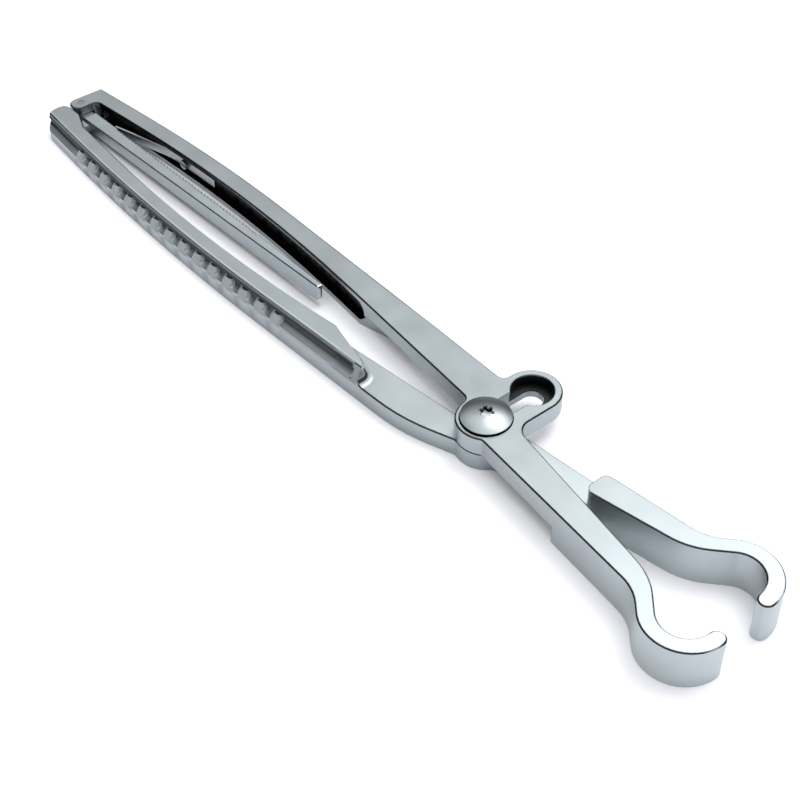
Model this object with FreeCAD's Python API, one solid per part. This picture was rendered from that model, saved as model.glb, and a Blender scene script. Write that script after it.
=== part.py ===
import FreeCAD, Part
import math
import os
from FreeCAD import Vector

# Lap-jointed forceps lying on its flat underside.
# Origin: pivot axis, on the underside plane.  +X points to the jaws, +Z is up.
# The upper lever has its handle on the +Y side and its jaw on the -Y side.

# Thickness of the stack
layer = 5.0               # lower half of the lap joint, underside to parting plane
stack_at_pivot = 10.0     # both layers at the pivot
taper = 0.019             # the top face falls this much per mm towards the handle ends
slip = 0.04               # gap between the two sliding faces of the lap joint

# Boss and pivot screw
boss_radius = 7.4
seat_radius = 5.35        # counterbore that the screw's shoulder turns in
seat_floor = 2.0          # web left under each counterbore
neck_slot = 5.7           # width of the slot that joins the two seats
running_fit = 0.05        # radial clearance of every turning fit
thread_radius = 2.5
thread_floor = 1.0        # solid web left under the blind thread
head_radius = 6.2
head_rim = 0.5
head_rise = 1.5           # crown of the domed head above its rim
head_lift = 0.2           # gap between the head and the tapered top face
recess_core = 1.42        # six-lobe drive recess
recess_lobe = 0.45
recess_pitch = 1.5
recess_depth = 1.7

# Ear with the second pivot seat
ear_reach = 14.5
ear_radius = 7.2
ear_lean = -1.6           # degrees from +Y

# Jaws: straight arm, cranked neck and a hook that turns back inward
arm_inner_start = -4.4    # inner edge of the arm, on the pivot's cross line
arm_outer_start = 5.25
arm_inner_slope = 0.1746
arm_outer_slope = 0.104
neck_angle = 42.0
hook_x = 70.0
hook_y = 7.7
hook_inner = 6.5
hook_outer = 10.6
neck_inner_radius = 18.0
neck_outer_radius = 12.0
jaw_start = 30.9          # the jaw is full height from here on
jaw_nose_radius = 2.2
jaw_step_radius = 0.6

# Handles, as bowed edges: start, corner with its radius, end towards the pivot
reach = 173.9             # pivot axis to the far end of the handles
drawn_reach = 173.9       # the reach that the bows' radii below were drawn for
bow = (reach / drawn_reach) ** 2     # a bow keeps its share of the handle when the reach changes
handle_end = -reach
upper_outer = [(-0.996 * reach, 9.4), (-0.7056 * reach, 15.1, 500.0 * bow), (-32.0, 12.25)]
upper_outer_y = 11.6      # the same edge on the pivot's cross line
upper_inner = [(-0.9684 * reach, 3.0), (-0.6084 * reach, 9.7, 480.0 * bow), (0.0, 0.4)]
lower_outer = [(-0.996 * reach, -12.2), (-0.6737 * reach, -16.9, 718.0 * bow), (-16.5, -12.2)]
lower_inner = [(-0.9212 * reach, -6.7), (-0.5543 * reach, -11.4, 480.0 * bow), (0.0, -0.4)]
lower_hip_radius = 52.0   # where the lower handle turns in to its boss
lower_hip_y = -6.0
pad_y = -4.25             # stop pad on the end of the lower handle
pad_end_x = -0.9563 * reach
pad_radius = 3.0
pad_corner_radius = 2.6
pad_foot_radius = 4.0     # blend from the pad to the bowed inner edge
lower_short = 0.3         # the lower handle ends this much short of the upper one
lobe_radius = 5.0

# Blends where boss, ear, arm and handle meet: a spot near each corner, and its radius
upper_blends = [(-6.9, 11.7, 2.0), (7.6, 3.1, 4.0), (-7.3, 1.0, 2.0), (4.7, -5.7, 1.5)]
lower_blends = [(-7.3, -1.2, 2.0), (4.7, 5.7, 1.5), (6.6, -3.2, 3.0), (-2.8, -6.9, 3.0)]
edge_break = 0.3          # chamfer of the top edges

# Grips
grip_corner = (-49.4, 5.8)     # where the half-thick shank meets the full grip, inner edge
grip_tip = (-32.4, 9.8)        # and where the oblique end wall reaches the tip
grip_tip_radius = 1.6
cutter_radius = 2.5            # blend at the foot of that wall
upper_lip = [(-0.996 * reach, 9.65), (-0.7056 * reach, 15.35, 500.0 * bow), (0.0, 13.95)]
lip_inset = 1.8           # the lip lies this far inside the flank below it
lip_round = 0.9
groove_radius = 1.2       # hollow under the lip
groove_centre = (-0.95, -2.35)
groove_turn = (135.0, 170.0, 205.0, 240.0)
shoulder_start = (-0.6, -3.94)
shoulder_end = (0.05, -4.9)
shoulder_radius = 1.2
groove_end_x = -34.2      # the hollow stops short of the grip's tip
rib_count = 15
rib_pitch = 0.03703 * reach
rib_first = -0.8815 * reach
rib_radius = 2.3
rib_proud = 0.05          # their round is cut off by the flank this far in
rib_drop = 1.9            # crown of the domed ribs, under the top face
dome_turn = (0.0, 30.0, 60.0)

# Channel in the upper handle, and the finger at its end
flange = 1.4
channel_depth = 1.6
channel_start = -0.9557 * reach
channel_end = -50.4
finger_width = 5.5
finger_tip_y = -3.9
finger_tip_radius = 2.55
finger_root_radius = 1.8
finger_corner_radius = 0.8
finger_slot_play = 0.6    # depth of the finger's slot past the tongue

# Latch bar
latch_x = handle_end + 2.8
latch_y = -0.7
latch_pin_radius = 0.8
tongue_radius = 1.9
tongue_height = 2.0
tongue_play = 0.08
tongue_wall = 0.7         # outer wall of the finger left standing past the slot
bar_start = pad_end_x
bar_end = -0.368 * reach
bar_bottom = 1.9
bar_top_start = 5.1
bar_top_end = 6.7
bar_back_start = 0.8
bar_back_mid = (-0.575 * reach, 2.45)
bar_back_end = 2.5
bar_front_start = -3.3
bar_front_end = 1.0
bar_tip_radius = 0.7
bar_break = 0.2           # chamfer of the bar's top edges
tooth_first = -0.892 * reach
tooth_pitch = 1.4
tooth_count = 46
tooth_depth = 0.5
nose_width = 3.3
nose_tip_y = -7.0
nose_tip_radius = 1.2
nose_play = 0.3
catch_pin_radius = 0.8
catch_pin_y = -6.7

# Leaf spring and its screw
leaf = 0.5
leaf_height = 2.8
leaf_tail_x = -0.6843 * reach
leaf_bend_x = -0.7878 * reach
leaf_tip_x = -0.9028 * reach
leaf_gap = 0.3            # the free end lies this far behind the bar
leaf_bend_radius = 25.0
leaf_screw_x = -0.7562 * reach
leaf_screw_head = 1.4
leaf_screw_head_height = 1.0
leaf_screw_radius = 0.8
leaf_screw_depth = 1.4

# Reach of the cutting tools past the stack, past the levers across X and past the grip
tall = 2.0 * stack_at_pivot
wide = 4.0 * stack_at_pivot
lap_reach = 1.2 * stack_at_pivot


def top_z(x):
    return stack_at_pivot + taper * x


def mid_z(x):
    return top_z(x) / 2.0


def around(cx, cy, radius, start, end, steps=3):
    # corners of the tangents to an arc, each to be rounded with its radius
    sweep = (end - start) / steps
    reach = radius / math.cos(math.radians(sweep / 2.0))
    corners = []
    for k in range(steps):
        a = math.radians(start + sweep * (k + 0.5))
        corners.append((cx + reach * math.cos(a), cy + reach * math.sin(a), radius))
    return corners


def outline(points):
    # closed face from corners (x, y, radius); a radius of 0 is a sharp corner
    count = len(points)
    rounds = []
    for k in range(count):
        here = Vector(points[k][0], points[k][1], 0)
        radius = points[k][2] if len(points[k]) > 2 else 0.0
        before = Vector(points[k - 1][0], points[k - 1][1], 0) - here
        after = Vector(points[(k + 1) % count][0], points[(k + 1) % count][1], 0) - here
        before.normalize()
        after.normalize()
        turn = math.pi - before.getAngle(after)
        if radius <= 0.0 or turn < 1e-6:
            rounds.append((here, None, here))
            continue
        tangent = radius * math.tan(turn / 2.0)
        inward = before + after
        inward.normalize()
        middle = here + inward * (radius / math.cos(turn / 2.0) - radius)
        rounds.append((here + before * tangent, middle, here + after * tangent))
    edges = []
    for k in range(count):
        start, middle, end = rounds[k]
        if middle is not None:
            edges.append(Part.Arc(start, middle, end).toShape())
        following = rounds[(k + 1) % count][0]
        if end.distanceToPoint(following) > 1e-5:
            edges.append(Part.LineSegment(end, following).toShape())
    return Part.Face(Part.Wire(edges))


def plate(points, low, high):
    face = outline(points)
    face.translate(Vector(0, 0, low))
    return face.extrude(Vector(0, 0, high - low))


def side_plate(points, low, high):
    # the same in the X-Z plane, standing from y = low to y = high
    face = outline(points)
    face.rotate(Vector(0, 0, 0), Vector(1, 0, 0), 90)
    face.translate(Vector(0, low, 0))
    return face.extrude(Vector(0, high - low, 0))


def disc(x, y, radius, low, high):
    return Part.makeCylinder(radius, high - low, Vector(x, y, low))


def bowed_y(edge, x):
    # height of a bowed edge at x: line, arc, line
    start, corner, end = edge
    s1 = (corner[1] - start[1]) / (corner[0] - start[0])
    s2 = (end[1] - corner[1]) / (end[0] - corner[0])
    a1, a2 = math.atan(s1), math.atan(s2)
    radius = corner[2]
    tangent = radius * math.tan(abs(a1 - a2) / 2.0)
    x1 = corner[0] - tangent * math.cos(a1)
    x2 = corner[0] + tangent * math.cos(a2)
    if x <= x1:
        return corner[1] + s1 * (x - corner[0])
    if x >= x2:
        return corner[1] + s2 * (x - corner[0])
    bulge = 1.0 if s1 > s2 else -1.0
    y1 = corner[1] + s1 * (x1 - corner[0])
    cx = x1 + bulge * radius * math.sin(a1)
    cy = y1 - bulge * radius * math.cos(a1)
    return cy + bulge * math.sqrt(radius ** 2 - (x - cx) ** 2)


def upright_edges(shape, spots):
    # vertical edges nearest to the given (x, y) spots
    found = []
    for spot in spots:
        best = None
        for edge in shape.Edges:
            if len(edge.Vertexes) != 2:
                continue
            a, b = edge.Vertexes[0].Point, edge.Vertexes[1].Point
            if abs(a.x - b.x) > 0.01 or abs(a.y - b.y) > 0.01 or abs(a.z - b.z) < 0.5:
                continue
            gap = math.hypot(a.x - spot[0], a.y - spot[1])
            if best is None or gap < best[0]:
                best = (gap, edge)
        found.append(best[1])
    return found


def jaw_plate(low, high):
    # arm, neck and hook of the jaw on the +Y side
    rise = math.tan(math.radians(neck_angle))
    a = math.radians(neck_angle + 90.0)

    def neck_corner(radius, start, slope):
        tx = hook_x + radius * math.cos(a)
        ty = hook_y + radius * math.sin(a)
        x = (ty - rise * tx - start) / (slope - rise)
        return x, start + slope * x

    inner = neck_corner(hook_inner, arm_inner_start, arm_inner_slope)
    outer = neck_corner(hook_outer, arm_outer_start, arm_outer_slope)
    tip = (hook_outer - hook_inner) / 2.0
    points = [(0.0, arm_inner_start), (inner[0], inner[1], neck_inner_radius)]
    points += around(hook_x, hook_y, hook_inner, neck_angle + 90.0, 0.0)
    points += [(hook_x + hook_inner, hook_y - tip, tip), (hook_x + hook_outer, hook_y - tip, tip)]
    points += around(hook_x, hook_y, hook_outer, 0.0, neck_angle + 90.0)
    points += [(outer[0], outer[1], neck_outer_radius), (0.0, arm_outer_start)]
    return plate(points, low, high)


def mirror_y(shape):
    return shape.mirror(Vector(0, 0, 0), Vector(0, 1, 0))


def wedge():
    # everything above the tapered top face
    left, right = handle_end - wide, hook_x + wide
    points = [(left, top_z(left)), (right, top_z(right)), (right, tall * 2), (left, tall * 2)]
    return side_plate(points, -tall * 2, tall * 2)


def lap_cut(side):
    # space the other lever's half takes, for the lever whose handle is on the given side of X
    slope = (grip_tip[1] - grip_corner[1]) / (grip_tip[0] - grip_corner[0])
    start_x = grip_corner[0] - lap_reach
    start_y = grip_corner[1] - slope * lap_reach
    points = [
        (start_x, start_y * side), (grip_tip[0], grip_tip[1] * side, grip_tip_radius),
        (grip_tip[0], wide * side), (jaw_start, wide * side),
        (jaw_start, -wide * side), (start_x, -wide * side),
    ]
    if side < 0:
        low, high = layer - slip / 2.0, tall
        foot = low
    else:
        low, high = -tall, layer + slip / 2.0
        foot = high
    tool = plate(points, low, high)
    wall = []
    for edge in tool.Edges:
        box = edge.BoundBox
        flat = box.ZLength < 0.01 and abs(box.ZMin - foot) < 0.01
        oblique = start_x + 0.1 < box.XMax < grip_tip[0] + 0.01
        if flat and oblique:
            wall.append(edge)
    return tool.makeFillet(cutter_radius, wall)


def plan_path(edge, stop_x):
    # the bowed edge as line, arc, line, from past the handle's end to stop_x
    start, corner, end = edge
    lead_x = start[0] - lap_reach
    p1 = Vector(lead_x, bowed_y(edge, lead_x), 0)
    p2 = Vector(corner[0], corner[1], 0)
    p3 = Vector(stop_x, bowed_y(edge, stop_x), 0)
    before = (p1 - p2).normalize()
    after = (p3 - p2).normalize()
    turn = math.pi - before.getAngle(after)
    tangent = corner[2] * math.tan(turn / 2.0)
    inward = (before + after).normalize()
    middle = p2 + inward * (corner[2] / math.cos(turn / 2.0) - corner[2])
    t1, t2 = p2 + before * tangent, p2 + after * tangent
    return [
        Part.LineSegment(p1, t1).toShape(), Part.Arc(t1, middle, t2).toShape(),
        Part.LineSegment(t2, p3).toShape(),
    ]


def swept(edge, side, stop_x, section):
    # a section (outward, up) carried along the edge, at the level of the top face
    path = plan_path(edge, stop_x)
    start = path[0].Vertexes[0].Point
    ahead = (path[0].Vertexes[1].Point - start).normalize()
    across = Vector(-ahead.y * side, ahead.x * side, 0)

    def at(spot):
        return start + across * spot[0] + Vector(0, 0, spot[1])

    edges = []
    for piece in section:
        if len(piece) == 3:
            edges.append(Part.Arc(at(piece[0]), at(piece[1]), at(piece[2])).toShape())
        else:
            edges.append(Part.LineSegment(at(piece[0]), at(piece[1])).toShape())
    tool = Part.Wire(path).makePipeShell([Part.Wire(edges)], True, False)
    tool.rotate(Vector(0, 0, 0), Vector(0, 1, 0), -math.degrees(math.atan(taper)))
    tool.translate(Vector(0, 0, stack_at_pivot))
    return tool


def lip_cut(edge, side):
    # rounds the lip and slopes the side below it out to the flank, up to the grip's tip
    out = 2.0 * lip_inset + lip_round
    inner = -(lip_inset + lip_round)
    bend = lip_round * math.sqrt(0.5)
    arc = [(inner, 0.0), (inner + bend, bend - lip_round), (-lip_inset, -lip_round)]
    low = shoulder_end
    return swept(edge, side, grip_tip[0] + edge_break, [
        arc, [arc[2], low], [low, (out, low[1])], [(out, low[1]), (out, lip_round)],
        [(out, lip_round), (inner, lip_round)], [(inner, lip_round), arc[0]],
    ])


def groove_cut(edge, side):
    # hollow under the lip, running out over a round shoulder to the flank
    out = 2.0 * lip_inset + lip_round

    def hollow(angle):
        a = math.radians(angle)
        return groove_centre[0] + groove_radius * math.cos(a), groove_centre[1] + groove_radius * math.sin(a)

    bends = [hollow(angle) for angle in groove_turn]
    dx, dz = shoulder_end[0] - shoulder_start[0], shoulder_end[1] - shoulder_start[1]
    chord = math.hypot(dx, dz)
    bulge = shoulder_radius - math.sqrt(shoulder_radius ** 2 - chord ** 2 / 4.0)
    crest = (
        (shoulder_start[0] + shoulder_end[0]) / 2.0 - dz / chord * bulge,
        (shoulder_start[1] + shoulder_end[1]) / 2.0 + dx / chord * bulge,
    )
    top = bends[0]
    section = [[bends[k], bends[k + 1]] for k in range(len(bends) - 1)]
    section += [
        [bends[-1], shoulder_start], [shoulder_start, crest, shoulder_end],
        [shoulder_end, (out, shoulder_end[1])], [(out, shoulder_end[1]), (out, top[1])],
        [(out, top[1]), top],
    ]
    return swept(edge, side, groove_end_x, section)


def ribs(edge, side):
    # upright ribs with domed tops that stay standing in the hollow, flush with the flank
    columns = []
    for k in range(rib_count):
        x = rib_first + rib_pitch * k
        y = bowed_y(edge, x) - (rib_radius - rib_proud) * side
        crown_z = top_z(x) - rib_drop - rib_radius
        half = [(0.0, 0.0), (rib_radius, 0.0)]
        for angle in dome_turn:
            a = math.radians(angle)
            half.append((rib_radius * math.cos(a), crown_z + rib_radius * math.sin(a)))
        half += [(0.0, half[-1][1]), (0.0, 0.0)]
        face = Part.Face(Part.makePolygon([Vector(x, y - r * side, z) for r, z in half]))
        columns.append(face.revolve(Vector(x, y, 0), Vector(0, 0, 1), 360))
    return columns


def channel_cut():
    # shallow channel in the inner side of the upper handle
    start, corner, end = upper_inner
    band = plate([
        (start[0], start[1] + channel_depth), (corner[0], corner[1] + channel_depth, corner[2]),
        (end[0], end[1] + channel_depth), (end[0], -boss_radius), (start[0], -boss_radius),
    ], -tall, tall)
    end_radius = (top_z(channel_end) - 2.0 * flange) / 2.0 - 0.05
    start_radius = (top_z(channel_start) - 2.0 * flange) / 2.0 - 0.05
    side = side_plate([
        (channel_start, flange, start_radius), (channel_end, flange, end_radius),
        (channel_end, top_z(channel_end) - flange, end_radius),
        (channel_start, top_z(channel_start) - flange, start_radius),
    ], -tall, tall)
    return band.common(side)


def ear_frame(shape):
    shape.rotate(Vector(0, 0, 0), Vector(0, 0, 1), ear_lean)
    return shape


def blended(body, blends):
    for x, y, radius in blends:
        body = body.makeFillet(radius, upright_edges(body, [(x, y)]))
    return body


def top_edges(shape):
    # the edges that bound the tapered top face
    return [
        edge for edge in shape.Edges
        if all(abs(v.Point.z - top_z(v.Point.x)) < 0.001 for v in edge.Vertexes)
    ]


def make_upper_lever():
    finger_x = handle_end + finger_width
    handle = plate([
        upper_outer[0] + (finger_corner_radius,), upper_outer[1], upper_outer[2], (0.0, upper_outer_y), upper_inner[2],
        upper_inner[1], upper_inner[0] + (finger_root_radius,),
        (finger_x, finger_tip_y, finger_tip_radius), (handle_end, finger_tip_y, finger_tip_radius),
    ], 0.0, tall)
    boss = disc(0, 0, boss_radius, 0.0, tall)
    arm = mirror_y(jaw_plate(0.0, tall))
    ear = disc(0, ear_reach, ear_radius, 0.0, tall)
    ear = ear.fuse(Part.makeBox(2 * ear_radius, ear_reach, tall, Vector(-ear_radius, 0, 0)))
    body = handle.fuse([boss, arm, ear_frame(ear)]).removeSplitter()
    body = blended(body, upper_blends).cut(wedge())
    body = body.makeChamfer(edge_break, top_edges(body))
    body = body.cut(lap_cut(1))
    inner_y = -(arm_inner_start + arm_inner_slope * jaw_start)
    outer_y = -(arm_outer_start + arm_outer_slope * jaw_start)
    body = body.makeFillet(jaw_nose_radius, upright_edges(body, [(jaw_start, inner_y)]))
    return body.makeFillet(jaw_step_radius, upright_edges(body, [(jaw_start, outer_y)]))


def keyhole():
    seat_z = layer + seat_floor
    cut = disc(0, 0, seat_radius, seat_z, tall)
    ear_seat = disc(0, ear_reach, seat_radius, seat_z, tall)
    slot = Part.makeBox(neck_slot, ear_reach, tall, Vector(-neck_slot / 2.0, 0, 0))
    ends = [disc(0, 0, neck_slot / 2.0, 0.0, tall), disc(0, ear_reach, neck_slot / 2.0, 0.0, tall)]
    return ear_frame(cut.fuse([ear_seat, slot] + ends))


def finger_slot():
    low = mid_z(latch_x) - tongue_height / 2.0 - tongue_play
    high = mid_z(latch_x) + tongue_height / 2.0 + tongue_play
    left = handle_end + tongue_wall
    right = handle_end + finger_width + finger_root_radius
    top = latch_y + tongue_radius + finger_slot_play
    return Part.makeBox(right - left, top + wide, high - low, Vector(left, -wide, low))


def make_lower_lever():
    handle = plate([
        (handle_end + lower_short, pad_y, pad_corner_radius), (pad_end_x, pad_y, pad_radius),
        lower_inner[0] + (pad_foot_radius,),
        lower_inner[1], lower_inner[2], (0.0, lower_hip_y), lower_outer[2] + (lower_hip_radius,),
        lower_outer[1], lower_outer[0] + (lobe_radius,),
    ], 0.0, tall)
    boss = disc(0, 0, boss_radius, 0.0, tall)
    body = handle.fuse([boss, jaw_plate(0.0, tall)]).removeSplitter()
    body = blended(body, lower_blends).cut(wedge())
    body = body.makeChamfer(edge_break, top_edges(body))
    body = body.cut(lap_cut(-1))
    for start, slope in [(arm_inner_start, arm_inner_slope), (arm_outer_start, arm_outer_slope)]:
        spot = (jaw_start, start + slope * jaw_start)
        body = body.makeFillet(jaw_nose_radius, upright_edges(body, [spot]))
    return body.makeChamfer(edge_break, shank_edges(body))


def shank_edges(shape):
    # outer edges of the lap face, from the grip's tip round the hip to the boss
    found = []
    for edge in shape.Edges:
        box = edge.BoundBox
        flat = box.ZLength < 0.001 and abs(box.ZMin - (layer - slip / 2.0)) < 0.001
        outside = box.YMax < lower_hip_y - 1.0 and box.XMax < -boss_radius
        if flat and outside and box.XMin > grip_tip[0]:
            found.append(edge)
    return found


def nose_pocket():
    low = mid_z(pad_end_x) - tongue_height / 2.0 - nose_play
    high = mid_z(pad_end_x) + tongue_height / 2.0 + nose_play
    left = bar_start - 2.0 * nose_play - 2.0 * catch_pin_radius
    right = bar_start + nose_width + 4.0 * nose_play
    deep = nose_tip_y - 3.0 * nose_play
    return Part.makeBox(right - left, wide, high - low, Vector(left, deep, low))


def catch_pin_x():
    return bar_start - nose_play - catch_pin_radius


def make_pivot_screw():
    seat_z = layer + seat_floor
    under_head = top_z(0.0) + head_lift
    shank = disc(0, 0, thread_radius, thread_floor + 0.2, layer - slip / 2.0)
    neck = disc(0, 0, neck_slot / 2.0 - running_fit, layer - slip / 2.0, seat_z + 0.2)
    shoulder = disc(0, 0, seat_radius - running_fit, seat_z + running_fit, under_head)
    crown = (head_radius ** 2 + head_rise ** 2) / (2.0 * head_rise)
    rim_z = under_head + head_rim
    ball = Part.makeSphere(crown, Vector(0, 0, rim_z + head_rise - crown), Vector(1, 1, 0))
    head = disc(0, 0, head_radius, under_head, tall).common(ball)
    recess_z = rim_z + head_rise - recess_depth
    recess = disc(0, 0, recess_core, recess_z, tall)
    lobes = []
    for k in range(6):
        a = math.radians(60.0 * k + 30.0)
        lobes.append(disc(recess_pitch * math.cos(a), recess_pitch * math.sin(a), recess_lobe, recess_z, tall))
    return shank.fuse([neck, shoulder, head]).removeSplitter().cut(recess.fuse(lobes))


def bar_back_y(x):
    start, middle = (bar_start, bar_back_start), bar_back_mid
    if x > middle[0]:
        start, middle = bar_back_mid, (bar_end, bar_back_end)
    share = (x - start[0]) / (middle[0] - start[0])
    return start[1] + share * (middle[1] - start[1])


def teeth():
    # ratchet notches along the back of the bar
    points = [(tooth_first, wide)]
    for k in range(tooth_count):
        x = tooth_first + tooth_pitch * k
        points.append((x, bar_back_y(x)))
        points.append((x + tooth_pitch / 3.0, bar_back_y(x) - tooth_depth))
    x = tooth_first + tooth_pitch * tooth_count
    points += [(x, bar_back_y(x)), (x, wide)]
    return plate(points, -tall, tall)


def front_bevel():
    # chamfer of the bar's top front edge
    ends = []
    for share in (-0.1, 1.1):
        x = bar_start + share * (bar_end - bar_start)
        y = bar_front_start + share * (bar_front_end - bar_front_start)
        z = bar_top_start + share * (bar_top_end - bar_top_start)
        out = 2.0 * bar_break
        corners = [(y + bar_break + out, z + out), (y - out, z - bar_break - out), (y - out, z + out)]
        ends.append(Part.makePolygon([Vector(x, cy, cz) for cy, cz in corners + corners[:1]]))
    return Part.makeLoft(ends, True, True)


def make_latch_bar():
    plan = plate([
        (bar_start, bar_back_start), (bar_back_mid[0], bar_back_mid[1]),
        (bar_end, bar_back_end, bar_tip_radius), (bar_end, bar_front_end, bar_tip_radius),
        (bar_start, bar_front_start, 0.3),
    ], 0.0, tall)
    side = side_plate([
        (bar_start, bar_bottom, 0.4), (bar_end, bar_bottom, 1.6),
        (bar_end, bar_top_end, 0.8), (bar_start, bar_top_start, 0.4),
    ], -tall, tall)
    bar = plan.common(side)
    bar = bar.cut(teeth()).cut(front_bevel())
    low = mid_z(latch_x) - tongue_height / 2.0
    high = low + tongue_height
    tongue = disc(latch_x, latch_y, tongue_radius, low, high)
    root = plate([
        (latch_x, latch_y + tongue_radius), (bar_start + 2.0, bar_back_start - 0.2),
        (bar_start + 2.0, bar_front_start + 0.6), (latch_x, latch_y - tongue_radius),
    ], low, high)
    nose = plate([
        (bar_start, bar_front_start + 1.0), (bar_start + nose_width, bar_front_start + 1.0),
        (bar_start + nose_width, nose_tip_y, nose_tip_radius * 1.6), (bar_start, nose_tip_y, nose_tip_radius),
    ], low, high)
    bar = bar.fuse([tongue, root, nose]).removeSplitter()
    return bar.cut(disc(latch_x, latch_y, latch_pin_radius + running_fit, -tall, tall))


def make_latch_pin():
    return disc(latch_x, latch_y, latch_pin_radius, 0.1, top_z(latch_x) - 0.1)


def make_catch_pin():
    return disc(catch_pin_x(), catch_pin_y, catch_pin_radius, 0.1, mid_z(pad_end_x) + tongue_height / 2.0 + 1.2)


def wall_y(x):
    return bowed_y(upper_inner, x) + channel_depth


def leaf_screw_frame(shape):
    # along the wall's normal at the screw
    step = 1.0
    lean = math.degrees(math.atan((wall_y(leaf_screw_x + step) - wall_y(leaf_screw_x - step)) / (2 * step)))
    shape.rotate(Vector(0, 0, 0), Vector(1, 0, 0), 90)
    shape.rotate(Vector(0, 0, 0), Vector(0, 0, 1), lean)
    shape.translate(Vector(leaf_screw_x, wall_y(leaf_screw_x), mid_z(leaf_screw_x)))
    return shape


def make_leaf_spring():
    low = mid_z(leaf_screw_x) - leaf_height / 2.0
    lift = 0.02
    tail = (leaf_tail_x, wall_y(leaf_tail_x) - lift)
    bend = (leaf_bend_x, wall_y(leaf_bend_x) - lift)
    tip_y = bar_back_y(leaf_tip_x) + leaf_gap
    points = [
        tail, bend + (leaf_bend_radius,), (leaf_tip_x, tip_y + leaf), (leaf_tip_x, tip_y),
        (bend[0], bend[1] - leaf, leaf_bend_radius), (tail[0], tail[1] - leaf),
    ]
    strip = plate(points, low, low + leaf_height)
    hole = leaf_screw_frame(disc(0, 0, leaf_screw_radius + running_fit, -3.0, 3.0))
    return strip.cut(hole)


def make_spring_screw():
    shank = disc(0, 0, leaf_screw_radius, -leaf_screw_depth, leaf + 0.1)
    head = disc(0, 0, leaf_screw_head, leaf + 0.1, leaf + 0.1 + leaf_screw_head_height)
    slot = Part.makeBox(4.0, 0.4, 1.0, Vector(-2.0, -0.2, leaf + leaf_screw_head_height - 0.35))
    return leaf_screw_frame(shank.fuse(head).removeSplitter().cut(slot))


upper_lever = make_upper_lever()
upper_lever = upper_lever.cut(keyhole())
upper_lever = upper_lever.cut(channel_cut())
upper_lever = upper_lever.cut(lip_cut(upper_lip, 1))
upper_lever = upper_lever.cut(groove_cut(upper_lip, 1).cut(ribs(upper_outer, 1)))
upper_lever = upper_lever.cut(finger_slot())
upper_lever = upper_lever.cut(disc(latch_x, latch_y, latch_pin_radius, -tall, tall))
upper_lever = upper_lever.cut(leaf_screw_frame(disc(0, 0, leaf_screw_radius, -leaf_screw_depth, 2.0)))

lower_lever = make_lower_lever()
lower_lever = lower_lever.cut(disc(0, 0, thread_radius, thread_floor, tall))
lower_lever = lower_lever.cut(lip_cut(lower_outer, -1))
lower_lever = lower_lever.cut(groove_cut(lower_outer, -1).cut(ribs(lower_outer, -1)))
lower_lever = lower_lever.cut(nose_pocket())
lower_lever = lower_lever.cut(make_catch_pin())

nodes = {
    "upper_lever": upper_lever,
    "lower_lever": lower_lever,
    "pivot_screw": make_pivot_screw(),
    "latch_bar": make_latch_bar(),
    "latch_pin": make_latch_pin(),
    "catch_pin": make_catch_pin(),
    "leaf_spring": make_leaf_spring(),
    "spring_screw": make_spring_screw(),
}

os.makedirs("parts", exist_ok=True)
for name, shape in nodes.items():
    print(name, "solids", len(shape.Solids), "valid", shape.isValid(), "volume", round(shape.Volume, 1))
    shape.exportStep("parts/%s.step" % name)
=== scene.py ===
import math

import bmesh
import bpy
from mathutils import Matrix, Vector


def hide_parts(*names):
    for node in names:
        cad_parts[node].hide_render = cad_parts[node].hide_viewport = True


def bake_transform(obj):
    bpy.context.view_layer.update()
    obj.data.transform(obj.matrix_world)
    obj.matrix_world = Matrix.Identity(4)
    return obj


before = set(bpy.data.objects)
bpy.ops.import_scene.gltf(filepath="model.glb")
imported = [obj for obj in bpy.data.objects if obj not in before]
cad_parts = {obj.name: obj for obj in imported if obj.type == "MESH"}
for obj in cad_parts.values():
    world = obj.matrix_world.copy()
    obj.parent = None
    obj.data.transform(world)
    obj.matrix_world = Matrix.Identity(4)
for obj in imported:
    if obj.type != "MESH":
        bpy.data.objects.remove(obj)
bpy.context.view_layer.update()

# Lap-jointed forceps of satin steel, lying on a white sweep.
# Metres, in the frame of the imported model: pivot axis at the origin, jaws towards +X.


# A socket that can be written into a sum.
class Signal:
    def __init__(self, tree, socket):
        self.tree = tree
        self.socket = socket

    def join(self, operation, *values):
        node = self.tree.nodes.new("ShaderNodeMath")
        node.operation = operation
        for spot, value in zip(node.inputs, values):
            if isinstance(value, Signal):
                self.tree.links.new(value.socket, spot)
            else:
                spot.default_value = value
        return Signal(self.tree, node.outputs[0])

    def __add__(self, other):
        return self.join("ADD", self, other)

    def __radd__(self, other):
        return self.join("ADD", other, self)

    def __sub__(self, other):
        return self.join("SUBTRACT", self, other)

    def __rsub__(self, other):
        return self.join("SUBTRACT", other, self)

    def __mul__(self, other):
        return self.join("MULTIPLY", self, other)

    def __rmul__(self, other):
        return self.join("MULTIPLY", other, self)

    def cosine(self):
        return self.join("COSINE", self)

    def fraction(self):
        return self.join("FRACT", self)

    def unsigned(self):
        return self.join("ABSOLUTE", self)

    def atLeast(self, other):
        return self.join("MAXIMUM", self, other)

    def atMost(self, other):
        return self.join("MINIMUM", self, other)

    def clipped(self):
        return self.atMost(1.0).atLeast(0.0)

    def rising(self, start, soft):
        # 0 up to the start, and 1 a soft edge further on
        return ((self - start) * (1.0 / soft)).clipped()

    def falling(self, end, soft):
        # 1 up to a soft edge before the end, and 0 from there on
        return ((end - self) * (1.0 / soft)).clipped()

    def within(self, low, high, soft):
        return self.rising(low, soft) * self.falling(high, soft)


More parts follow.
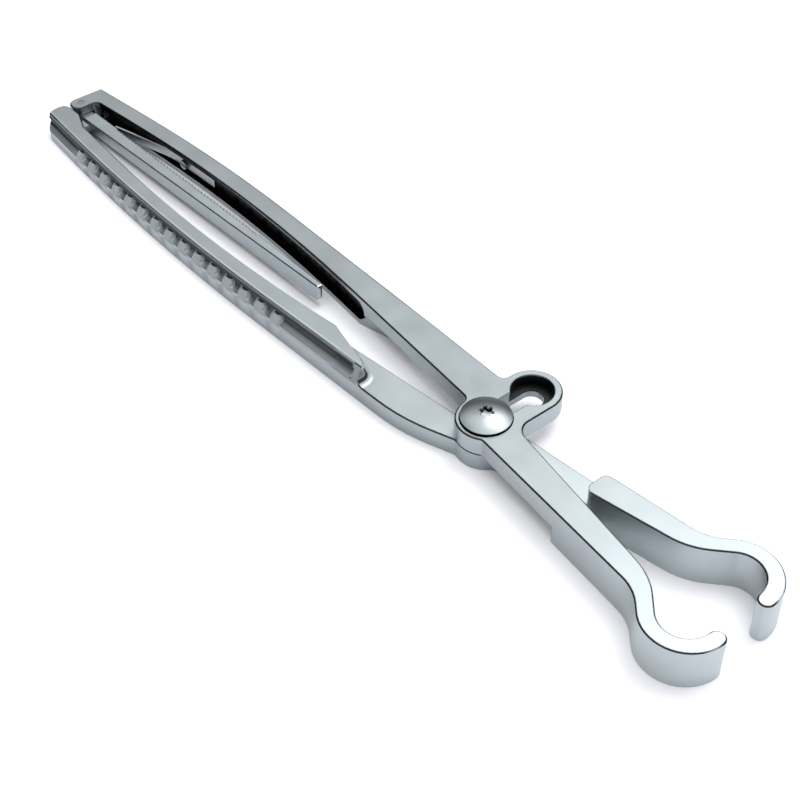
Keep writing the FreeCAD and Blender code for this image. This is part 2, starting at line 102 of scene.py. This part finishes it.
# One material or world being mixed: every node of it is made here.
class Finish:
    def __init__(self, owner):
        self.owner = owner
        owner.use_nodes = True
        self.tree = owner.node_tree
        self.tree.nodes.clear()

    def add(self, kind, settings=None, sockets=None, out=0):
        node = self.tree.nodes.new(kind)
        for key, value in (settings or {}).items():
            if key == "stops":
                self.setStops(node.color_ramp, value)
            else:
                setattr(node, key, value)
        for key, value in (sockets or {}).items():
            spot = node.inputs[key]
            if isinstance(value, Signal):
                self.tree.links.new(value.socket, spot)
            else:
                spot.default_value = value
        if isinstance(out, tuple):
            return [Signal(self.tree, node.outputs[name]) for name in out]
        return None if out is None else Signal(self.tree, node.outputs[out])

    def setStops(self, ramp, stops):
        while len(ramp.elements) < len(stops):
            ramp.elements.new(0.5)
        for element, (place, level) in zip(ramp.elements, stops):
            element.position = place
            element.color = grey(level)

    def blendColour(self, share, first, second):
        return self.add("ShaderNodeMix", {"data_type": "RGBA"}, {0: share, 6: first, 7: second}, 2)

    def ramped(self, share, stops):
        return self.add("ShaderNodeValToRGB", {"stops": stops}, {"Fac": share})

    def parts(self, vector, out=("X", "Y", "Z")):
        return self.add("ShaderNodeSeparateXYZ", {}, {0: vector}, out)

    def alike(self, first, second):
        # cosine of the angle between two directions
        return self.add("ShaderNodeVectorMath", {"operation": "DOT_PRODUCT"}, {0: first, 1: second}, "Value")

    def noise(self, spot, size, detail):
        return self.add("ShaderNodeTexNoise", {}, {"Vector": spot, "Scale": 1.0 / size, "Detail": detail})

    def openness(self, reach, alone=False):
        # 0 deep in a hollow of that size, 1 in the open
        return self.add("ShaderNodeAmbientOcclusion", {"samples": 8, "only_local": alone}, {"Distance": reach}, "AO")

    def end(self, surface, kind="ShaderNodeOutputMaterial"):
        self.add(kind, {}, {"Surface": surface}, None)
        return self.owner


def grey(level, tint=0.0):
    # less red and a little more blue for a positive tint
    return (level * (1.0 - tint), level, level * (1.0 + 0.4 * tint), 1.0)


def dimmed(colour, share):
    return tuple(c * share for c in colour[:3]) + (1.0,)


# Bead-blasted steel, shared by every finish below.
blast = {
    "grain": 0.00022,          # size of one blasted dimple
    "grainDepth": 0.0000025,
    "grainRelief": 0.35,
    "grainRough": 0.10,        # how far it moves the roughness
    "cloud": 0.011,            # size of the soft cloudy patches
    "cloudDepth": 0.00004,
    "cloudRelief": 0.10,
    "cloudRough": 0.16,
    "smear": 0.0044,           # size of the finer patches in them
    "tone": (0.5, 0.3, 0.2),   # shares of cloud, smear and grain in the colour
    "darker": 0.16,            # how far the colour moves each way
    "lighter": 0.14,
    "soot": 0.10,              # painted shade: what is left of the colour deep in a corner
    "cornerStops": (0.25, 0.65),
}


def blastedSteel(name, piece, own=()):
    f = Finish(bpy.data.materials.new(name))
    spot, facing = f.add("ShaderNodeTexCoord", out=("Object", "Normal"))
    grain = f.noise(spot, blast["grain"], 3.0)
    cloud = f.noise(spot, blast["cloud"], 2.0)
    smear = f.noise(spot, blast["smear"], 4.0)
    grainShare, cloudShare = piece["blasted"]
    ofCloud, ofSmear, ofGrain = blast["tone"]
    colour = piece["colour"]
    base = f.blendColour(
        ofCloud * cloud + ofSmear * smear + ofGrain * grain,
        dimmed(colour, 1.0 - blast["darker"] * cloudShare),
        dimmed(colour, 1.0 + blast["lighter"] * cloudShare))
    rough = (piece["roughness"] + blast["cloudRough"] * cloudShare * (cloud - 0.5)
             + blast["grainRough"] * grainShare * (grain - 0.5))
    waves = f.add("ShaderNodeBump", {}, {
        "Strength": blast["cloudRelief"] * cloudShare, "Distance": blast["cloudDepth"], "Height": cloud})
    relief = f.add("ShaderNodeBump", {}, {
        "Strength": blast["grainRelief"] * grainShare, "Distance": blast["grainDepth"],
        "Height": grain, "Normal": waves})
    # painted shade: corners and narrow hollows are darkened by how open they are
    if "corner" in piece:
        dark, clear = blast["cornerStops"]
        light = f.ramped(f.openness(piece["corner"], piece["alone"]), [(dark, blast["soot"]), (clear, 1.0)])
        base = f.blendColour(light, dimmed(colour, blast["soot"]), base)
    skin = {"Base Color": base, "Roughness": rough, "Metallic": 1.0, "Normal": relief}
    for step in own:
        step(f, spot, facing, skin)
    return f.end(f.add("ShaderNodeBsdfPrincipled", {}, skin))


lever = {
    "colour": grey(0.50, 0.09),
    "roughness": 0.34,
    "blasted": (1.0, 1.0),     # shares of the grain and of the clouds
    "corner": 0.0018,          # painted shade: hollows narrower than this are darkened
    "alone": True,             # only the piece itself casts that painted shade into its corners
    # outer edges of the handles: start, slope, where the bow begins and ends, slope after it
    "upperEdge": (-0.1732, 0.0094, 0.11287, -0.14960, -0.09512, -0.03143),
    "lowerEdge": (-0.1732, -0.0122, -0.08386, -0.16390, -0.07041, 0.04667),
    "topAtPivot": 0.0100,
    "topSlope": 0.019,
    # grips
    "grip": (-0.1735, -0.0345),
    "gripSoft": 0.0008,
    "gripDepth": (0.0042, 0.0006),       # how deep it goes in from the flank, and its soft edge
    "lip": (0.0003, 0.00067),  # where its shade begins under the lip, and its soft edge
    "shadeScale": 0.005,       # depth under the top at the ramp's end
    "shade": [(0.07, 0.0), (0.15, 0.92), (0.50, 0.92), (0.72, 0.35), (0.86, 0.0)],
    "shadeLeft": 0.06,         # painted shade: what is left of the colour in it
    "firstRib": -0.15329,
    "ribPitch": 0.00644,
    "ribCount": 15,
    "ribRadius": 0.0023,
    "ribDrop": 0.0019,         # crown of a rib under the top
    "ribEdge": (1.06, 0.2),    # where its crown ends and how softly, in squares of its radius
    "beyondRow": 0.01,         # takes the pattern away past the row's ends
    "rowSoft": 0.0001,
    "crownPaintedLight": grey(0.62, 0.07),     # the crowns are rough, and pale as painted light on their upward faces
    "crownRough": 0.42,
    "crownFaces": (0.12, 0.97, 0.15),
    "ribFoot": (-0.001, 0.0058, 0.001),  # the ribs' faint run down the flank
    "ribRelief": 0.00024,
    "gripEnd": (-0.0420, -0.0255),       # the blend at its oblique end wall
    "gripEndOff": (0.006, 0.001),        # distance from the middle plane, and its soft edge
    "gripEndSoft": 0.002,
    "gripEndFaces": (0.1, 0.98, 0.05),
    "gripEndRough": 0.35,
    # edges, darkened as painted reflections
    "line": 0.00036,           # painted dark reflection along the border of the top faces
    "lineTurn": (0.006, 0.0125),         # how far the eased edge turns there
    "broken": 0.14,            # painted dark reflection: what is left of the colour on the broken edges
    "brokenFaces": (0.55, 0.86, 0.05),
    "topFaces": (0.9, 0.05),   # upward share of a normal where the line begins, and its soft edge
    "wallFaces": (-0.5, 0.5, 0.1),
    "lipSide": (0.035, 0.0045, 0.0005),      # the lip has no line: slope and height of its side, soft edge
    # lap joint; a round one's soft edge is in square metres
    "lap": 0.005,
    "seam": (0.00015, 0.0088, 1.0e-6),       # half its height, how far from the pivot it shows, soft edge
    "seamLeft": 0.02,
    "underHead": (0.00645, 1.0e-7),      # painted shadow ring under the screw's head: radius, soft edge
    "seat": (0.0004, 0.0145, 0.00555, 2.5e-7),     # ear's open seat, painted in shade: middle, radius, soft edge
    "seatWeb": 0.0017,         # its floor over the lap
    "seatRim": (0.0003, 0.0002),
    "seatShade": 0.93,
    "seatLeft": 0.01,
    # channel and its lower ledge, painted in shade
    "channel": (-0.1672, -0.0506, 0.0014, 0.0076),    # start, end, low and high
    "channelShadeColour": grey(0.004),
    "channelSoft": (0.0006, 0.0003),
    "channelFaces": (-0.5, 0.25),
    "ledge": (0.0008, 0.0004, 0.0002),   # its lower ledge: below, above and soft edge
    "ledgeFaces": (0.5, 0.25),
}


def bowed(x, edge):
    # the handle's outer edge, as two straight runs and the bow between them
    start, height, before, low, high, after = edge
    inBow = (x - low).atLeast(0.0).atMost(high - low)
    past = (x - high).atLeast(0.0)
    return (height + (x - start) * before + inBow * inBow * ((after - before) / 2.0 / (high - low))
            + past * (after - before))


def ribRow():
    # the first rib, the pitch and where the row begins and ends
    first, pitch = lever["firstRib"], lever["ribPitch"]
    last = first + pitch * (lever["ribCount"] - 1)
    return first, pitch, first - pitch / 2.0, last + pitch / 2.0


def shadedHollow(f, spot, facing, skin, edge, side):
    # painted shade darkens the hollow under the lip between the ribs; the ribs' crowns are rough, with painted light
    # on their upward faces
    x, y, z = f.parts(spot)
    rise = f.parts(facing, "Z")
    inward = (bowed(x, edge) - y) * side
    under = x * lever["topSlope"] + lever["topAtPivot"] - z
    first, pitch, rowStart, rowEnd = ribRow()
    radius = lever["ribRadius"]
    fromRib = (((x - first) * (1.0 / pitch) + 0.5).fraction() - 0.5) * pitch
    aside = fromRib + lever["beyondRow"] * (1.0 - x.within(rowStart, rowEnd, lever["rowSoft"]))
    across = inward - radius
    above = (lever["ribDrop"] + radius - under).atLeast(0.0)
    inRadii = (aside * aside + across * across + above * above) * (1.0 / radius ** 2)
    clear = inRadii.rising(*lever["ribEdge"])
    onGrip = x.within(*lever["grip"], lever["gripSoft"]) * inward.falling(*lever["gripDepth"])
    shade = f.ramped(under * (1.0 / lever["shadeScale"]), lever["shade"])
    hollow = shade * clear * onGrip * inward.rising(*lever["lip"])
    crown = (1.0 - clear) * onGrip * rise.within(*lever["crownFaces"])
    # painted light: the crowns' upward faces are paler
    base = f.blendColour(crown, skin["Base Color"], lever["crownPaintedLight"])
    skin["Roughness"] = skin["Roughness"] + crown * lever["crownRough"]
    # painted shade in the hollow between the ribs
    skin["Base Color"] = f.blendColour(hollow, base, dimmed(lever["colour"], lever["shadeLeft"]))


def upperHollow(f, spot, facing, skin):
    shadedHollow(f, spot, facing, skin, lever["upperEdge"], 1.0)


def lowerHollow(f, spot, facing, skin):
    shadedHollow(f, spot, facing, skin, lever["lowerEdge"], -1.0)


def ribFeet(f, spot, facing, skin):
    # the ribs run on faintly down the flank
    x, z = f.parts(spot, ("X", "Z"))
    first, pitch, rowStart, rowEnd = ribRow()
    wave = ((x - first) * (2.0 * math.pi / pitch)).cosine()
    height = wave * x.within(rowStart, rowEnd, pitch / 4.0) * z.within(*lever["ribFoot"])
    skin["Normal"] = f.add("ShaderNodeBump", {}, {
        "Strength": 1.0, "Distance": lever["ribRelief"], "Height": height, "Normal": skin["Normal"]})


def gripEnd(f, spot, facing, skin):
    # the blend at the grip's oblique end wall is rougher
    x, y = f.parts(spot, ("X", "Y"))
    rise = f.parts(facing, "Z")
    share = (x.within(*lever["gripEnd"], lever["gripEndSoft"]) * y.unsigned().rising(*lever["gripEndOff"])
             * rise.within(*lever["gripEndFaces"]))
    skin["Roughness"] = skin["Roughness"] + lever["gripEndRough"] * share


def edgeReflectionAndSeam(f, spot, facing, skin):
    # painted dark reflections on broken edges and top-face borders, and the dark seam round the boss, read as thin
    # dark lines
    x, y, z = f.parts(spot)
    rise = f.parts(facing, "Z")
    slope, height, soft = lever["lipSide"]
    onLip = x.within(*lever["grip"], soft) * (y.unsigned() + x * slope).rising(height, soft)
    true = f.add("ShaderNodeNewGeometry", out="Normal")
    eased = f.add("ShaderNodeBevel", {"samples": 6}, {"Radius": lever["line"]})
    border = (1.0 - f.alike(true, eased)).rising(*lever["lineTurn"]) * rise.rising(*lever["topFaces"])
    edge = rise.within(*lever["brokenFaces"]).atLeast(border) * (1.0 - onLip)
    # painted dark reflection on the edges
    base = f.blendColour(edge, skin["Base Color"], dimmed(lever["colour"], lever["broken"]))
    half, far, soft = lever["seam"]
    seam = (z.within(lever["lap"] - half, lever["lap"] + half, half / 2.0)
            * (x * x + y * y).falling(far ** 2, soft) * rise.within(*lever["wallFaces"]))
    skin["Base Color"] = f.blendColour(seam, base, dimmed(lever["colour"], lever["seamLeft"]))


def seatAndRingShade(f, spot, facing, skin):
    # painted shade inside the empty seat in the ear, and a painted shadow ring under the screw's head
    x, y, z = f.parts(spot)
    middleX, middleY, radius, soft = lever["seat"]
    rim, rimSoft = lever["seatRim"]
    ringRadius, ringSoft = lever["underHead"]
    fromX, fromY = x - middleX, y - middleY
    inside = (fromX * fromX + fromY * fromY).falling(radius ** 2, soft)
    deep = z.within(lever["lap"] + lever["seatWeb"], lever["topAtPivot"] - rim, rimSoft)
    ring = (x * x + y * y).falling(ringRadius ** 2, ringSoft)
    share = ring.atLeast(inside * deep * lever["seatShade"])
    skin["Base Color"] = f.blendColour(share, skin["Base Color"], dimmed(lever["colour"], lever["seatLeft"]))


def channelShade(f, spot, facing, skin):
    # painted shade: the channel in the handle's inner side and its lower ledge are painted near black
    x, z = f.parts(spot, ("X", "Z"))
    outward, rise = f.parts(facing, ("Y", "Z"))
    start, end, low, high = lever["channel"]
    softEnd, softSide = lever["channelSoft"]
    fromMiddle = z - (low + high) / 2.0
    rounded = x + fromMiddle * fromMiddle * (1.0 / (high - low))
    wall = (rounded.within(start, end, softEnd) * z.within(low, high, softSide)
            * outward.falling(*lever["channelFaces"]))
    below, over, soft = lever["ledge"]
    ledge = (x.within(start, end, softEnd) * z.within(low - below, low + over, soft)
             * rise.rising(*lever["ledgeFaces"]))
    skin["Base Color"] = f.blendColour(wall.atLeast(ledge), skin["Base Color"], lever["channelShadeColour"])


screwHead = {
    "colour": grey(0.35, 0.09),
    "roughness": 0.34,
    "blasted": (0.5, 0.5),
    "recess": (0.0022, 1.0e-7),    # radius round the six-lobe recess, soft edge in square metres
    "rim": (0.01165, 0.0001),  # height of its mouth, a little under the crown, and soft edge
    # painted light on the recess floor
    "floor": grey(0.95),
    "floorFaces": (0.8, 0.1),
    "paintedLightDull": 0.8,          # taken from the metal there, so the painted light shows
    "foot": (0.01062, 0.0001),     # painted shadow below this, over its gap
    "darkLeft": 0.02,
}

springScrew = {"colour": grey(0.35, 0.09), "roughness": 0.30, "blasted": (0.5, 0.5)}


def driveRecess(f, spot, facing, skin):
    # painted light on the drive recess's floor, painted shade on its walls, and painted shadow on the head's foot
    # over its gap
    x, y, z = f.parts(spot)
    rise = f.parts(facing, "Z")
    radius, soft = screwHead["recess"]
    inside = (x * x + y * y).falling(radius ** 2, soft) * z.falling(*screwHead["rim"])
    flat = inside * rise.rising(*screwHead["floorFaces"])
    dark = inside.atLeast(z.falling(*screwHead["foot"]))
    base = f.blendColour(dark, skin["Base Color"], dimmed(screwHead["colour"], screwHead["darkLeft"]))
    skin["Base Color"] = f.blendColour(flat, base, screwHead["floor"])
    skin["Metallic"] = 1.0 - screwHead["paintedLightDull"] * flat


latchBar = {
    "colour": grey(0.51, 0.09),
    "roughness": 0.36,
    "blasted": (1.0, 1.0),
    "corner": 0.0035,
    "alone": False,            # the channel casts painted shade into its corners too
    # painted shade on the bar's toothed back
    "teeth": grey(0.15, 0.09),
    "teethFaces": (0.1, 0.2),
}

pins = {"colour": grey(0.42, 0.02), "roughness": 0.30, "blasted": (0.5, 1.0)}


def barBackShade(f, spot, facing, skin):
    # painted shade on the teeth on the bar's back, which face into the channel
    back = f.parts(facing, "Y")
    share = back.rising(*latchBar["teethFaces"])
    skin["Base Color"] = f.blendColour(share, skin["Base Color"], latchBar["teeth"])


def dressNodes():
    upper = blastedSteel(
        "upper_satin", lever, (ribFeet, edgeReflectionAndSeam, seatAndRingShade, upperHollow, channelShade, gripEnd))
    lower = blastedSteel("lower_satin", lever, (ribFeet, edgeReflectionAndSeam, lowerHollow, gripEnd))
    pin = blastedSteel("pin_ground", pins)
    looks = {
        "upper_lever": upper,
        "lower_lever": lower,
        "pivot_screw": blastedSteel("screw_satin", screwHead, (driveRecess,)),
        "spring_screw": blastedSteel("small_screw", springScrew),
        "latch_bar": blastedSteel("bar_satin", latchBar, (edgeReflectionAndSeam, barBackShade)),
        "latch_pin": pin,
        "catch_pin": pin,
    }
    for node, material in looks.items():
        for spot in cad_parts[node].material_slots:
            spot.material = material
    print("nodes dressed")


# The strip behind the bar: screwed flat on the channel's wall, bent out to press on the bar.
leafSpring = {
    "colour": grey(0.66, 0.03),
    "roughness": 0.30,
    "blasted": (0.3, 0.5),
    # x, y along its middle
    "line": [(-0.1190, 0.00845), (-0.1315, 0.00775), (-0.1341, 0.00760), (-0.1361, 0.00743),
             (-0.1379, 0.00710), (-0.1398, 0.00663), (-0.1484, 0.00411), (-0.1570, 0.00158)],
    "low": 0.00235,
    "high": 0.00515,
    "thickness": 0.00045,
    "edge": 0.0001,            # rounding of its long edges
    "sharp": 40.0,             # degrees
    "steps": 6,                # between two points of the line
    "hold": (-0.1400, 0.0066),     # from here on it follows the bar
}


def stripPath():
    line = [Vector((x, y, 0.0)) for x, y in leafSpring["line"]]
    steps = leafSpring["steps"]
    path = []
    for first, second in zip(line, line[1:]):
        path += [first.lerp(second, k / steps) for k in range(steps)]
    return path + [line[-1]]


def springStrip():
    path = stripPath()
    half, e = leafSpring["thickness"] / 2.0, leafSpring["edge"]
    low, high = leafSpring["low"], leafSpring["high"]
    section = [(-half, low + e), (-half + e, low), (half - e, low), (half, low + e),
               (half, high - e), (half - e, high), (-half + e, high), (-half, high - e)]
    bm = bmesh.new()
    rings = []
    for k, point in enumerate(path):
        along = (path[min(k + 1, len(path) - 1)] - path[max(k - 1, 0)]).normalized()
        aside = Vector((-along.y, along.x, 0.0))
        rings.append([bm.verts.new(point + aside * d + Vector((0.0, 0.0, z))) for d, z in section])
    for ring, following in zip(rings, rings[1:]):
        for k in range(len(section)):
            n = (k + 1) % len(section)
            bm.faces.new((ring[k], ring[n], following[n], following[k]))
    bm.faces.new(rings[0][::-1])
    bm.faces.new(rings[-1])
    bmesh.ops.recalc_face_normals(bm, faces=bm.faces)
    mesh = bpy.data.meshes.new("spring_strip")
    bm.to_mesh(mesh)
    bm.free()
    for face in mesh.polygons:
        face.use_smooth = True
    mesh.set_sharp_from_angle(angle=math.radians(leafSpring["sharp"]))
    mesh.materials.append(blastedSteel("strip_polished", leafSpring))
    strip = bpy.data.objects.new("spring_strip", mesh)
    bpy.context.scene.collection.objects.link(strip)
    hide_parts("leaf_spring")
    middle = (low + high) / 2.0
    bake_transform(strip)
    print("spring strip made")


# The camera stands where the photograph was taken from.
photo = {
    "place": Vector((0.1975, -0.1952, 0.2909)),
    "towards": Vector((-0.5296, 0.4720, -0.7049)),
    "upright": Vector((-0.019, 0.0, 1.0)),
    "lens": 76.5,
    "sensor": 36.0,
    "shiftX": -0.031,
    "nearest": 0.01,
}


def setCamera():
    data = bpy.data.cameras.new("photo_camera")
    data.lens = photo["lens"]
    data.sensor_width = photo["sensor"]
    data.sensor_height = photo["sensor"]
    data.shift_x = photo["shiftX"]
    data.clip_start = photo["nearest"]
    camera = bpy.data.objects.new("photo_camera", data)
    bpy.context.scene.collection.objects.link(camera)
    back = -photo["towards"].normalized()
    right = photo["upright"].cross(back).normalized()
    up = back.cross(right)
    turn = Matrix((right, up, back)).transposed().to_4x4()
    camera.matrix_world = Matrix.Translation(photo["place"]) @ turn
    bpy.context.scene.camera = camera
    print("camera set")


# White sweep under a soft sky: dark at the horizon, pale overhead.
studio = {
    "floorSize": 6.0,
    "floorDrop": 0.00005,      # keeps it off the undersides
    "floorColour": (0.855, 0.85, 0.89, 1.0),
    "floorRough": 0.9,
    "floorGloss": 0.1,
    "floorSeen": 0.27,         # white added for the camera alone
    "mirroredLightPool": (0.05, 3.0),     # painted light added for the steel's reflections: at the pivot, and more per metre towards the jaws
    "gap": 0.018,              # painted shadow: narrow gaps lose that added white
    "gapDark": (0.12, 0.4545),
    # sine of the elevation, and its light
    "sky": [(0.0, 0.04), (0.40, 0.07), (0.47, 0.42), (0.54, 0.98),
            (0.62, 0.70), (0.72, 0.52), (0.84, 0.95), (1.0, 1.90)],
    "skyTint": 0.012,
    # elevation and azimuth in degrees, cosines where it begins and is full, and its light or shade
    "boxes": [(60.0, 95.0, 0.905, 0.97, 3.8), (52.0, 180.0, 0.945, 0.985, 0.9)],
    "flags": [(39.0, -40.0, 0.97, 0.99, 0.3), (41.0, 214.0, 0.945, 0.985, 0.75)],
}


def setFloor():
    half = studio["floorSize"] / 2.0
    mesh = bpy.data.meshes.new("floor")
    corners = [(-half, -half, 0.0), (half, -half, 0.0), (half, half, 0.0), (-half, half, 0.0)]
    mesh.from_pydata(corners, [], [(0, 1, 2, 3)])
    floor = bpy.data.objects.new("floor", mesh)
    floor.location.z = -studio["floorDrop"]
    bpy.context.scene.collection.objects.link(floor)
    f = Finish(bpy.data.materials.new("floor_white"))
    seen, mirrored = f.add("ShaderNodeLightPath", out=("Is Camera Ray", "Is Glossy Ray"))
    towardsJaws = f.parts(f.add("ShaderNodeTexCoord", out="Object"), "X")
    atPivot, perMetre = studio["mirroredLightPool"]
    # painted light pool for the steel's reflections, growing towards the jaws
    pool = (towardsJaws * perMetre).clipped() + atPivot
    # painted shadow: the added white fades in narrow gaps
    free = f.openness(studio["gap"]).rising(*studio["gapDark"])
    glow = f.blendColour(free * (seen * studio["floorSeen"] + mirrored * pool), grey(0.0), grey(1.0))
    mesh.materials.append(f.end(f.add("ShaderNodeBsdfPrincipled", {}, {
        "Base Color": studio["floorColour"], "Roughness": studio["floorRough"],
        "Specular IOR Level": studio["floorGloss"], "Emission Color": glow, "Emission Strength": 1.0})))


def patch(f, ray, elevation, azimuth, start, full, amount):
    # a soft-edged patch of the sky
    up, turn = math.radians(elevation), math.radians(azimuth)
    towards = Vector((math.cos(up) * math.cos(turn), math.cos(up) * math.sin(turn), math.sin(up)))
    return f.alike(ray, towards).rising(start, full - start) * amount


def setWorld():
    world = bpy.data.worlds.new("studio")
    bpy.context.scene.world = world
    f = Finish(world)
    ray = f.add("ShaderNodeTexCoord", out="Generated")
    level = f.ramped(f.parts(ray, "Z"), studio["sky"])
    for flag in studio["flags"]:
        level = level * (1.0 - patch(f, ray, *flag))
    for box in studio["boxes"]:
        level = level + patch(f, ray, *box)
    lit = f.add("ShaderNodeBackground", {}, {"Color": grey(1.0, studio["skyTint"]), "Strength": level})
    white = f.add("ShaderNodeBackground", {}, {"Color": grey(1.0), "Strength": 1.0})
    seen = f.add("ShaderNodeLightPath", out="Is Camera Ray")
    f.end(f.add("ShaderNodeMixShader", {}, {0: seen, 1: lit, 2: white}), "ShaderNodeOutputWorld")


dressNodes()
springStrip()
setCamera()
setFloor()
setWorld()
bpy.context.scene.view_settings.view_transform = "Standard"
print("stage set")
